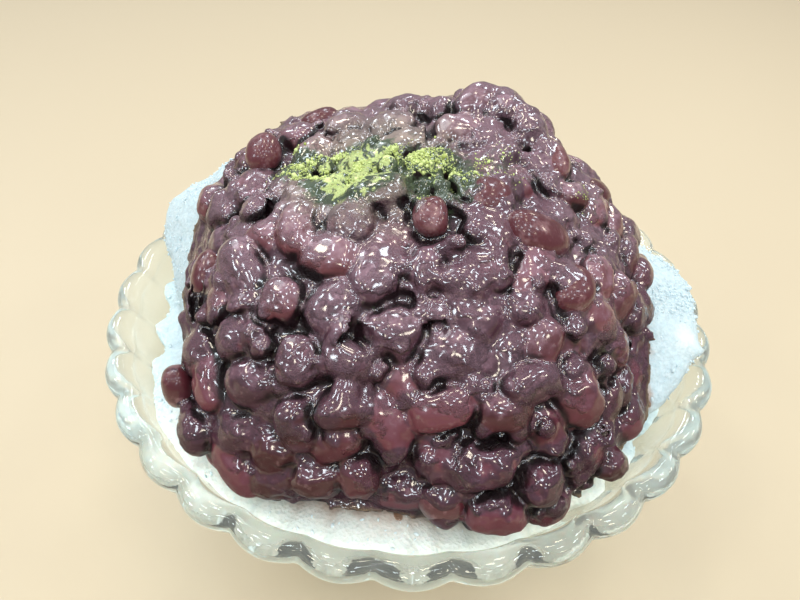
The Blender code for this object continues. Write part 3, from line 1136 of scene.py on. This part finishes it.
class Beans:
    """Where every bean lies: the chosen ones, and random ones wherever there is still room."""

    def __init__(self, settings):
        self.mound = Shell("red_beans", 3)
        random = np.random.default_rng(41)
        rows = list(CHOSEN_BEANS)
        places = list(self.mound.over(self.headings(rows)))
        for _ in range(9000):
            azimuth = random.uniform(0, 360)
            polar = math.degrees(math.acos(random.uniform(math.cos(math.radians(75)), 1)))
            edge = math.degrees(float(self.mound.edge(np.array(math.radians(azimuth)))))
            if polar > edge - 2.5:
                continue
            bean = Bean(
                azimuth, polar, settings.length / MM * random.lognormal(0, 0.12),
                settings.width / MM * random.lognormal(0, 0.09), random.uniform(0, 180),
                random.normal(-0.2, 1.2), int(random.random() < 0.03),
            )
            place = self.mound.over(self.headings([bean]))[0]
            nearest = min(np.linalg.norm(place - other) for other in places)
            if nearest > settings.spacing:
                rows.append(bean)
                places.append(place)
        self.rows = rows
        table = np.array(rows)
        count = len(rows)
        self.half = np.stack(
            (table[:, 2] / 2, table[:, 3] / 2, table[:, 3] / 2 * random.uniform(0.84, 0.96, count)),
            axis=1,
        ) * MM
        heading = self.headings(rows)
        normal = self.mound.normal(heading)
        azimuth, polar = np.radians(table[:, 0]), np.radians(table[:, 1])
        down = direction(azimuth, polar + math.pi / 2)
        across = direction(azimuth + math.pi / 2, np.full(count, math.pi / 2))
        turn = np.radians(table[:, 4])[:, None]
        tilted = unit(normal + random.normal(0, 0.16, (count, 3)))
        along = down * np.cos(turn) + across * np.sin(turn)
        along = unit(along - tilted * np.sum(along * tilted, axis=1, keepdims=True))
        self.axes = np.stack((along, np.cross(tilted, along), tilted), axis=1)
        rise = table[:, 5:6] * MM
        self.middles = self.mound.over(heading) + normal * (rise - self.half[:, 2:])
        self.bend = random.uniform(-0.28, 0.28, count)
        self.tint = random.uniform(0, 1, count)
        self.wrap = random.uniform(0, 1, count)
        self.coat = np.where(random.random(count) < 0.35, 0.5 * MM, 0)
        self.bare = table[:, 6] > 0
        self.seed = random.integers(1, 10**6, count)

    @staticmethod
    def headings(rows):
        table = np.radians(np.array([(bean.azimuth, bean.polar) for bean in rows]))
        return direction(table[:, 0], table[:, 1])

    def distances(self, i, points, less=0.0):
        """About how far points are from bean i: negative inside. less makes the bean smaller."""
        half = self.half[i] - less
        place = (points - self.middles[i]) @ self.axes[i].T
        along = place[..., 0] / half[0]
        bent = place[..., 1] + self.bend[i] * half[1] * (along * along - 0.4)
        power = 2.35
        size = (
            np.abs(along) ** power + np.abs(bent / half[1]) ** power
            + np.abs(place[..., 2] / half[2]) ** power
        ) ** (1 / power)
        size = np.maximum(size, 0.05)
        return np.linalg.norm(place, axis=-1) * (1 - 1 / size)


def paste_finish(beans, tea):
    """Paste and coated beans with painted light and shade: paler mauve where they face up, darker red
    low down, near black in crevices, with glossy sparkle.
    """
    finish = Finish("red_bean_paste")
    body, tint, deep, thin, green, film, up, soaked = (
        finish.attribute(name)
        for name in ("body", "tint", "deep", "thin", "tea", "film", "up", "soaked")
    )
    cloud = finish.noise(4 * MM, 3.0, 0.6)
    specks = finish.noise(1.3 * MM, 3.0, 0.55)
    glitter = finish.noise(0.36 * MM, 2.0, 0.7)
    where = finish.noise(9 * MM, 2.0, 0.6)
    skin = finish.mix(
        finish.between(tint + (cloud - 0.5) * 0.8, 0.15, 0.95), colour(beans.skin_colour),
        colour(beans.coated_colour),
    )
    paste = finish.mix(
        finish.between(cloud, 0.35, 0.7), colour(beans.paste_colour), (0.12, 0.06, 0.086)
    )
    shows = finish.between(body + (specks - 0.5) * 0.6 - up * 0.15, 0.25, 0.8)
    base = finish.mix(shows, paste, skin)
    # painted light: paler greyish mauve where the surface faces up, as if lit from above
    painted_top_light = finish.between(up + (specks - 0.5) * 1.1 + (where - 0.5) * 1.2, 0.3, 1.1)
    base = finish.mix(painted_top_light * (0.85 - soaked * 0.4), base, colour(beans.painted_top_light_colour))
    base = finish.mix(finish.between(specks, 0.58, 0.72) * 0.35, base, (0.42, 0.26, 0.27))
    # painted shade: darker and redder towards the bottom of the heap, and in a patch right of the
    # front
    base = finish.mix(soaked, base, colour(beans.soaked_and_shaded_tint), "MULTIPLY")
    hazy = finish.between(film + (specks - 0.5) * 0.8, 0.2, 1.1)
    base = finish.mix(hazy * 0.7, base, (0.3, 0.25, 0.19))
    edge = finish.between(thin + (cloud - 0.5) * 0.3, 0.2, 0.9)
    base = finish.mix(edge, base, colour(beans.edge_colour))
    # painted shade: darker where the surface is closed in, less where it faces up
    shade = finish.between(deep - up * 0.2, 0.08, 0.55)
    base = finish.mix(shade, base, colour(beans.painted_shade_colour))
    damp = finish.between(green + (specks - 0.5) * 0.7, 0.06, 0.34)
    base = finish.mix(damp, base, colour(tea.wet_colour))
    dry = finish.between(green + (specks - 0.5) * 2.2 + (cloud - 0.5) * 1.4 - deep * 0.3, 0.66, 0.95)
    base = finish.mix(dry, base, colour(tea.dry_colour))
    sparkle = finish.between(where * 0.6 + cloud * 0.4 + up * 0.1 - body * 0.07, 0.5, 0.56)
    coarse = finish.bump(specks * (1 - body * 0.6), 0.35 * MM, 0.4)
    normal = finish.bump(glitter * (0.02 + sparkle), 1.0 * MM, 1.0, coarse)
    roughness = 0.45 + dry * 0.35
    coat = (1 - dry) * (0.04 + 0.96 * finish.between(up, 0.15, 0.6))
    return finish.principled(
        {
            "Base Color": base, "Roughness": roughness, "Normal": normal,
            "Coat Weight": coat, "Coat Roughness": 0.13, "Coat IOR": 1.75, "IOR": 1.35,
            "Subsurface Weight": 0.08, "Subsurface Scale": 1.5 * MM,
            "Subsurface Radius": (1.0, 0.45, 0.4),
        }
    )


def bean_finish(beans):
    """A bare bean: a dark red, tight and glossy skin."""
    finish = Finish("red_bean_skin")
    tint = finish.attribute("tint")
    cloud = finish.noise(3 * MM, 3.0, 0.6)
    grain = finish.noise(0.5 * MM, 2.0)
    base = finish.mix(tint, colour(beans.skin_colour), (0.12, 0.03, 0.038))
    base = finish.mix(finish.between(cloud, 0.5, 0.7) * 0.7, base, (0.27, 0.14, 0.15))
    normal = finish.bump(grain * 0.4 + cloud * 0.6, 0.3 * MM, 0.45)
    return finish.principled(
        {
            "Base Color": base, "Roughness": 0.3, "Normal": normal, "Coat Weight": 0.5,
            "Coat Roughness": 0.08, "IOR": 1.45, "Subsurface Weight": 0.1,
            "Subsurface Scale": 1 * MM, "Subsurface Radius": (1.0, 0.3, 0.25),
        }
    )


def tea_share(tea, points):
    """1 in the middle of the green tea powder, 0 away from it, with scattered outliers."""
    middle = direction(np.array(tea.azimuth), np.array(tea.polar))
    away = np.arccos(np.clip(unit(points - CENTRE) @ middle, -1, 1))
    total = smooth(1.25, 0.45, away / tea.spread)
    for azimuth, polar, spread, height in (
        (195, 21, 5.5, 0.42), (286, 11, 8, 0.5), (330, 15, 5, 0.16), (345, 30, 4, 0.12),
    ):
        other = direction(np.array(math.radians(azimuth)), np.array(math.radians(polar)))
        away = np.arccos(np.clip(unit(points - CENTRE) @ other, -1, 1))
        total = np.maximum(total, height * smooth(1.3, 0.2, np.degrees(away) / spread))
    return total


def tea_film(tea, points):
    """The wider haze of fine powder around the tea, 1 in its middle."""
    middle = direction(np.array(tea.azimuth), np.array(tea.polar * 0.8))
    away = np.arccos(np.clip(unit(points - CENTRE) @ middle, -1, 1))
    return smooth(2.9, 0.8, away / tea.spread)


class BINGSU_OT_red_beans(bpy.types.Operator):
    """Heap up the paste with the beans that it coats"""

    bl_idname = "bingsu.red_beans"
    bl_label = "Red Beans and Paste"

    MOST_TRIANGLES = 190_000

    def execute(self, context):
        settings = context.scene.bingsu_beans
        beans = Beans(settings)
        low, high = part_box("red_beans")
        spare = 6 * MM
        field = Field(np.array(low) - spare, np.array(high) + spare, settings.cell)
        self.add_core(field, beans.mound, settings)
        self.add_fragments(field, beans.mound)
        paste = field.values.copy()
        bodies = np.full(paste.shape, FAR, np.float32)
        tints = np.zeros(paste.shape, np.float32)
        for i in range(len(beans.rows)):
            self.add_bean(field, paste, bodies, tints, beans, i)
        self.add_skins(field, beans)
        self.roughen(field)
        points, quads = field.surface()
        masks = self.masks(context, field, beans, bodies, tints, points, quads)
        finish = paste_finish(settings, context.scene.bingsu_tea)
        piece = make_piece("red_bean_heap", points, quads, finish, masks)
        thinned(piece, "hidden", self.MOST_TRIANGLES)
        settle(piece, "red_beans", "red_beans")
        return {"FINISHED"}

    def add_core(self, field, mound, settings):
        points = field.points().reshape(-1, 3)
        azimuth, polar, distance = angles(points)
        outer = mound.outside(azimuth, polar)
        under = mound.underside(azimuth, polar)
        uneven = Uneven(51)
        near = np.abs(distance - outer) < 12 * MM
        depth = np.full(len(points), settings.paste_depth)
        depth[near] += settings.paste_uneven * uneven.layers(points[near], 11 * MM, 3)
        thick = outer - under
        to_edge = (mound.edge(azimuth) - polar) * outer
        least = 0.9 * MM + 0.7 * MM * smooth(0, 6 * MM, to_edge)
        top = under + np.maximum(least, thick - depth)
        past = np.full(len(points), 0.0)
        past[near] = 2.2 * MM * uneven.layers(points[near] + 0.3, 6 * MM, 2)
        values = np.maximum(distance - top, under - 1.2 * MM - distance)
        values = np.maximum(values, (1.2 * MM - to_edge - past) * 0.8)
        field.values = values.reshape(field.values.shape).astype(np.float32)

    def add_bean(self, field, paste, bodies, tints, beans, i):
        """A bean gets a fillet where it meets the paste, but hardly one to other beans."""
        window = field.window(beans.middles[i], beans.half[i].max() + 5 * MM)
        away = beans.distances(i, field.points(window), 0.3 * MM if beans.bare[i] else 0.0)
        away = away.astype(np.float32)
        nearer = away < bodies[window]
        tints[window] = np.where(nearer, beans.tint[i], tints[window])
        bodies[window] = np.where(nearer, away + beans.coat[i], bodies[window])
        both = smooth_least(paste[window], away, (0.9 + 2.6 * beans.wrap[i]) * MM)
        field.values[window] = smooth_least(field.values[window], both, 0.6 * MM)

    def add_fragments(self, field, mound):
        """Broken bits of bean in the paste, in patches."""
        random = np.random.default_rng(52)
        patches = Uneven(53)
        for _ in range(2600):
            azimuth = random.uniform(0, math.tau)
            polar = math.acos(random.uniform(math.cos(math.radians(74)), 1))
            if polar > mound.edge(np.array(azimuth)) - math.radians(2):
                continue
            heading = direction(np.array(azimuth), np.array(polar))
            middle = mound.over(heading[None])[0]
            if patches(middle, 14 * MM) < -0.2:
                continue
            size = random.uniform(0.6, 1.9) * MM
            middle = middle - heading * random.uniform(1.0, 5.0) * MM
            stretch = random.uniform(0.55, 1.3, 3)
            window = field.window(middle, size * 1.3 + 2 * MM)
            place = (field.points(window) - middle) @ turned(random, 1)[0].T
            length = np.linalg.norm(place / stretch, axis=-1)
            away = np.linalg.norm(place, axis=-1) * (1 - size / np.maximum(length, size * 0.05))
            field.join(window, away.astype(np.float32), 0.8 * MM)

    def add_skins(self, field, beans):
        """Burst skins: thin open halves of beans that stick out of the paste."""
        random = np.random.default_rng(56)
        for _ in range(28):
            azimuth = random.uniform(0, math.tau)
            polar = math.acos(random.uniform(math.cos(math.radians(66)), 1))
            if polar > beans.mound.edge(np.array(azimuth)) - math.radians(4):
                continue
            heading = direction(np.array(azimuth), np.array(polar))[None]
            normal = beans.mound.normal(heading)[0]
            half = random.uniform((3.2, 2.6, 1.8), (5.0, 3.6, 2.8)) * MM
            middle = beans.mound.over(heading)[0] - normal * random.uniform(0.9, 2.6) * MM
            window = field.window(middle, half.max() + 2 * MM)
            up = unit(normal + random.normal(0, 0.5, 3))
            along = unit(np.cross(up, random.normal(size=3)))
            place = (field.points(window) - middle) @ np.stack((along, np.cross(up, along), up)).T
            size = np.maximum(np.linalg.norm(place / half, axis=-1), 0.05)
            shell = np.abs(np.linalg.norm(place, axis=-1) * (1 - 1 / size)) - 0.42 * MM
            torn = place @ unit(np.array((random.uniform(0.3, 1), random.uniform(-1, 1), -0.5)))
            torn = torn + random.uniform(0.1, 0.6) * half[1]
            torn = torn + 0.6 * MM * Uneven(int(random.integers(10**6)))(place, 2 * MM)
            away = np.maximum(shell, torn).astype(np.float32)
            field.join(window, away, 0.5 * MM)

    def roughen(self, field):
        """Crumbs and wrinkles, strongest in patches."""
        near = np.abs(field.values) < 2.5 * MM
        points = field.points()[near]
        patches = smooth(-0.4, 0.4, Uneven(54)(points, 8 * MM))
        waves = Uneven(55).layers(points, 4 * MM, 2)
        crumbs = Uneven(57).layers(points, 1.7 * MM, 2, 0.7)
        wrinkles = 1 - 2 * np.abs(Uneven(58)(points, 2.4 * MM)) ** 0.6
        field.values[near] -= (
            0.3 * MM * waves + (0.12 * MM + 0.42 * MM * patches) * crumbs + 0.1 * MM * wrinkles
        )

    def masks(self, context, field, beans, bodies, tints, points, quads):
        normals = normals_of(points, quads)
        azimuth, polar, distance = angles(points)
        body = smooth(0.75 * MM, 0.05 * MM, field.at(points, bodies))
        # painted shade: how closed in each point is, read from the field out along its normal
        hidden = 0
        for reach in (1.5 * MM, 3 * MM, 5 * MM):
            hidden = hidden + np.clip(1 - field.at(points + normals * reach) / reach, 0, 2) / 3
        outer = beans.mound.outside(azimuth, polar)
        under = beans.mound.underside(azimuth, polar)
        to_edge = (beans.mound.edge(azimuth) - polar) * outer
        thin = smooth(3.5 * MM, 0.5 * MM, to_edge) * smooth(3 * MM, 1 * MM, distance - under)
        settings = context.scene.bingsu_tea
        faces_up = smooth(-0.1, 0.6, normals[:, 2])
        tea = tea_share(settings, points) * faces_up
        # painted shade: darker towards the bottom of the heap and in one patch, with a redder tone
        low = smooth(math.radians(30), math.radians(60), polar)
        soaked = low * (0.75 + 0.25 * np.cos(azimuth - math.radians(310)))
        darker_patch = unit(points - CENTRE) @ direction(np.radians(298.0), np.radians(24.0))
        soaked = soaked + 0.4 * smooth(math.cos(math.radians(17)), math.cos(math.radians(5)), darker_patch)
        inner = distance < under - 0.2 * MM
        return {
            "body": body, "tint": field.at(points, tints), "deep": np.clip(hidden, 0, 1),
            "thin": thin, "tea": tea, "hidden": inner, "up": normals[:, 2],
            "film": tea_film(settings, points) * faces_up, "soaked": np.clip(soaked, 0, 1),
        }


class BINGSU_OT_bare_beans(bpy.types.Operator):
    """Set the beans whose skins show bare into the heap"""

    bl_idname = "bingsu.bare_beans"
    bl_label = "Bare Beans"

    def execute(self, context):
        settings = context.scene.bingsu_beans
        beans = Beans(settings)
        ball, faces = unit_ball(4)
        points, sides, tints, start = [], [], [], 0
        for i in np.flatnonzero(beans.bare):
            power = 2.35
            radius = (np.abs(ball) ** power).sum(1) ** (-1 / power)
            body = ball * radius[:, None]
            body = body * beans.half[i]
            along = body[:, 0] / beans.half[i, 0]
            body[:, 1] -= beans.bend[i] * beans.half[i, 1] * (along * along - 0.4)
            uneven = Uneven(int(beans.seed[i]))
            body *= 1 + 0.035 * uneven.layers(body, 4 * MM, 2)[:, None]
            body *= 1 + 0.012 * uneven(body * (1, 3, 3), 1.6 * MM)[:, None]
            points.append(body @ beans.axes[i] + beans.middles[i])
            sides.append(faces + start)
            tints.append(np.full(len(body), beans.tint[i]))
            start += len(body)
        piece = make_piece(
            "red_beans_bare", np.concatenate(points), np.concatenate(sides),
            bean_finish(settings), {"tint": np.concatenate(tints)},
        )
        settle(piece, "red_beans")
        return {"FINISHED"}


# ---------------------------------------------------------------- tea powder and syrup


class BINGSU_OT_tea_powder(bpy.types.Operator):
    """Sprinkle clumped green tea powder near the top of the beans"""

    bl_idname = "bingsu.tea_powder"
    bl_label = "Green Tea Powder"

    def execute(self, context):
        heap = bpy.data.objects.get("red_bean_heap")
        if heap is None:
            raise RuntimeError("the powder lies on the beans, which aren't there yet")
        tea = context.scene.bingsu_tea
        random = np.random.default_rng(61)
        clumps = Uneven(62)

        def weight(points, normals):
            share = tea_share(tea, points) ** 2
            crowd = np.clip(clumps.layers(points, 4 * MM, 2) + 0.1, 0.01, 1) ** 2
            return share * crowd * (normals[:, 2] > 0.2)

        points, normals = scattered(heap, tea.grains, random, weight)
        size = random.lognormal(math.log(0.13), 0.5, tea.grains) * MM
        sizes = size[:, None] * random.uniform(0.6, 1.0, (tea.grains, 3))
        points = points + normals * random.uniform(-0.2, 0.8, (tea.grains, 1)) * size[:, None]
        finish = Finish("green_tea_powder")
        tint = finish.attribute("tint")
        base = finish.mix(tint, colour(tea.dry_colour), (0.36, 0.42, 0.1))
        normal = finish.bump(finish.noise(0.25 * MM, 2.0), 0.1 * MM, 0.7)
        material = finish.principled({"Base Color": base, "Roughness": 0.75, "Normal": normal})
        piece = joined(
            "green_tea_powder", points, turned(random, tea.grains), sizes,
            lumps(random, 8, 1, 0.45), random, material, {"tint": random.random(tea.grains) ** 2},
        )
        settle(piece, "red_beans")
        return {"FINISHED"}


class BINGSU_OT_syrup(bpy.types.Operator):
    """Let drops of thin syrup run out of the beans onto the ice in front"""

    bl_idname = "bingsu.syrup"
    bl_label = "Syrup"

    def execute(self, context):
        mound = bpy.data.objects.get("shaved_ice_mound")
        if mound is None:
            raise RuntimeError("the syrup runs onto the shaved ice, which isn't there yet")
        syrup = context.scene.bingsu_syrup
        random = np.random.default_rng(71)
        beans = Shell("red_beans", 0)
        patches = Uneven(72)

        def weight(points, normals):
            azimuth, polar, _ = angles(points)
            past = np.degrees(polar - beans.edge(azimuth))
            degrees = np.degrees(azimuth) % 360
            front = smooth(195, 225, degrees) * smooth(340, 320, degrees)
            beside = smooth(-3, -1.5, past) * smooth(1.4, 0, past)
            return front * beside * np.clip(patches(points, 8 * MM) + 0.1, 0.02, 1)

        points, normals = scattered(mound, syrup.drops, random, weight)
        width = random.lognormal(math.log(syrup.drop_width / 2), 0.45, syrup.drops)
        sizes = width[:, None] * random.uniform((0.8, 0.6, 0.12), (1.8, 1.1, 0.25), (syrup.drops, 3))
        azimuth, polar, _ = angles(points)
        down = direction(azimuth, polar + math.pi / 2)
        along = unit(down - normals * np.sum(down * normals, axis=1, keepdims=True))
        turns = np.stack((along, np.cross(normals, along), normals), axis=1)
        finish = Finish("thin_syrup")
        cloud = finish.noise(1.5 * MM)
        base = finish.mix(cloud, colour(syrup.syrup_colour), (0.72, 0.5, 0.36))
        material = finish.principled(
            {"Base Color": base, "Roughness": 0.08, "IOR": 1.4, "Transmission Weight": 0.85}
        )
        piece = joined(
            "syrup_drops", points, turns, sizes, lumps(random, 8, 3, 0.2), random, material
        )
        settle(piece, "red_beans")
        return {"FINISHED"}


# ---------------------------------------------------------------- stage


class BINGSU_OT_stage(bpy.types.Operator):
    """Lay the floor, hang the lamps and place the camera"""

    bl_idname = "bingsu.stage"
    bl_label = "Stage"

    def execute(self, context):
        stage = context.scene.bingsu_stage
        half = 4.0
        corners = [(-half, -half, 0), (half, -half, 0), (half, half, 0), (-half, half, 0)]
        finish = Finish("plain_floor")
        material = finish.principled(
            {"Base Color": colour(stage.floor_colour), "Roughness": 0.55}
        )
        floor = make_piece("floor", np.array(corners, float), np.array([[0, 1, 2, 3]]), material)
        world = bpy.data.worlds.new("studio")
        world.use_nodes = True
        world.node_tree.nodes["Background"].inputs["Color"].default_value = (0.93, 0.96, 1, 1)
        world.node_tree.nodes["Background"].inputs["Strength"].default_value = 0.28
        context.scene.world = world
        soft = (
            ("ceiling", (0.05, -0.2, 1.1), 0.7, 2.2, (0.97, 0.99, 1)),
            ("front", (0.1, -0.6, 0.95), 0.6, 2.3, (1, 0.99, 0.97)),
            ("window", (-0.5, 0.5, 0.8), 0.4, 1.1, (0.9, 0.96, 1)),
        )
        turn = math.pi * (3 - math.sqrt(5))
        cool, warm = (0.82, 0.93, 1), (1, 0.91, 0.74)
        small = []
        for i in range(26):
            up = 0.98 - 0.5 * i / 25
            place = 0.8 * direction(np.array(i * turn), np.arccos(np.array(up)))
            small.append((f"lamp_{i}", tuple(place), 0.09, 0.38, warm if i % 3 == 0 else cool))
        for name, place, size, power, tint in (*soft, *small):
            data = bpy.data.lights.new(name, "AREA")
            data.shape, data.size = "DISK", size
            data.energy, data.color = power, tint
            lamp = bpy.data.objects.new(name, data)
            lamp.location = place
            lamp.visible_glossy = size < 0.5
            towards = Vector((0, 0, 0.06)) - lamp.location
            lamp.rotation_euler = towards.to_track_quat("-Z", "Y").to_euler()
            context.scene.collection.objects.link(lamp)
        context.scene.camera = self.camera(context, stage)
        context.scene.view_settings.view_transform = "Standard"
        return {"FINISHED"}

    def camera(self, context, stage):
        data = bpy.data.cameras.new("camera")
        data.lens = stage.lens
        data.sensor_width = 36
        data.clip_start = 0.01
        camera = bpy.data.objects.new("camera", data)
        heading, pitch, roll = stage.camera_azimuth, stage.camera_pitch, stage.camera_roll
        ahead = Vector(
            (math.sin(heading) * math.cos(pitch), math.cos(heading) * math.cos(pitch),
             -math.sin(pitch))
        )
        level = Vector((math.cos(heading), -math.sin(heading), 0))
        upright = level.cross(ahead)
        right = level * math.cos(roll) + upright * math.sin(roll)
        up = upright * math.cos(roll) - level * math.sin(roll)
        turn = Matrix((right, up, -ahead)).transposed().to_4x4()
        place = Matrix.Translation((0, -stage.camera_back, stage.camera_up))
        camera.matrix_world = place @ turn
        context.scene.collection.objects.link(camera)
        return camera


# ---------------------------------------------------------------- add-on


class BINGSU_PT_sidebar(bpy.types.Panel):
    """Lists the pieces in the order in which they are made"""

    bl_label = "Bingsu"
    bl_idname = "BINGSU_PT_sidebar"
    bl_space_type = "VIEW_3D"
    bl_region_type = "UI"
    bl_category = "Bingsu"

    def draw(self, context):
        column = self.layout.column()
        for operator in OPERATORS:
            column.operator(operator.bl_idname)


SETTINGS = {
    "bingsu_bowl": BowlSettings, "bingsu_ice": IceSettings, "bingsu_beans": BeanSettings,
    "bingsu_tea": TeaSettings, "bingsu_syrup": SyrupSettings, "bingsu_stage": StageSettings,
}
OPERATORS = (
    BINGSU_OT_stage, BINGSU_OT_glass_bowl, BINGSU_OT_shaved_ice, BINGSU_OT_ice_flakes,
    BINGSU_OT_red_beans, BINGSU_OT_bare_beans, BINGSU_OT_tea_powder,
    BINGSU_OT_syrup,
)
CLASSES = (*SETTINGS.values(), *OPERATORS, BINGSU_PT_sidebar)


def register():
    for item in CLASSES:
        bpy.utils.register_class(item)
    for name, group in SETTINGS.items():
        setattr(bpy.types.Scene, name, PointerProperty(type=group))


def unregister():
    for name in SETTINGS:
        delattr(bpy.types.Scene, name)
    for item in reversed(CLASSES):
        bpy.utils.unregister_class(item)


def main():
    register()
    for operator in OPERATORS:
        group, name = operator.bl_idname.split(".")
        getattr(getattr(bpy.ops, group), name)()


if __name__ == "__main__":
    main()
